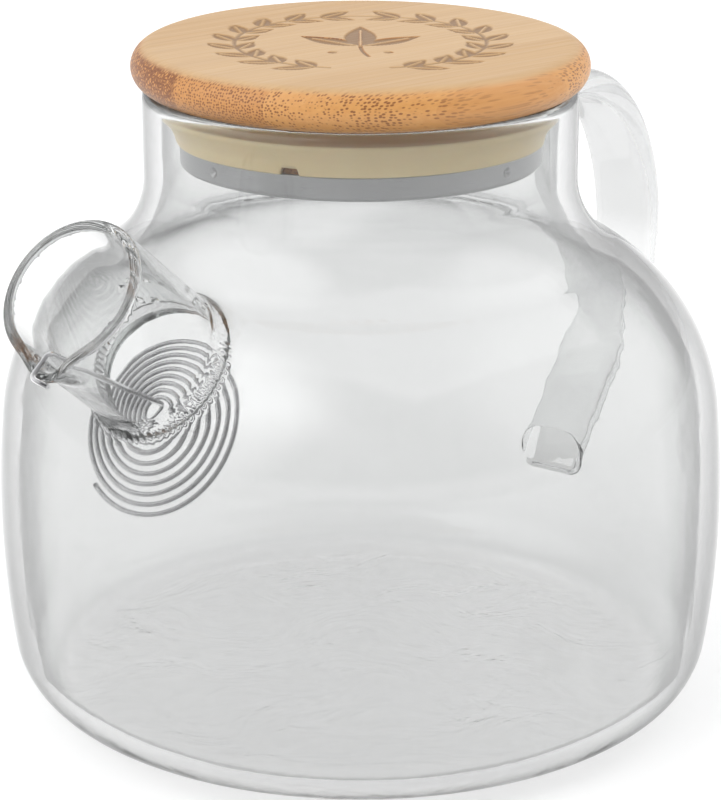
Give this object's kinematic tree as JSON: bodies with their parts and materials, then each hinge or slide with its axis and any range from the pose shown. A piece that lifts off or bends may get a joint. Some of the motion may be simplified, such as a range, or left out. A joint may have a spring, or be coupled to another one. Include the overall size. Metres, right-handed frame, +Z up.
{
  "type": "glass teapot",
  "caption": "Round clear glass teapot with a tubular spout, a strap handle, a bamboo lid with a sealing ring, and a spiral wire filter hooked over the lip of the spout.",
  "frame": {"origin": "centre of the flat base, on the table", "axes": "+Z up the pot's axis, -X towards the spout, +X towards the handle"},
  "size_m": [0.1969, 0.1468, 0.1336],
  "materials": {
    "clear_glass": "clear, fire-polished",
    "bamboo": "sanded and oiled, satin",
    "silicone": "matt, slightly translucent",
    "lid_steel": "brushed round the band",
    "filter_wire": "bright drawn stainless wire"
  },
  "bodies": {
    "pot": {"glass_body": "clear_glass", "spout": "clear_glass", "handle": "clear_glass"},
    "lid": {"bamboo_lid": "bamboo", "seal_ring": "silicone", "steel_cap": "lid_steel"},
    "filter": {"spring_filter": "filter_wire"}
  },
  "joints": [
    {"name": "lid_lift", "type": "slide", "parent": "pot", "child": "lid", "axis": [0, 0, 1], "range_m": [0, 0.06]},
    {"name": "filter_swing", "type": "hinge", "parent": "pot", "child": "filter", "pos_m": [-0.0894, 0, 0.0898], "axis": [0, -1, 0], "range_deg": [0, 4.5]}
  ]
}
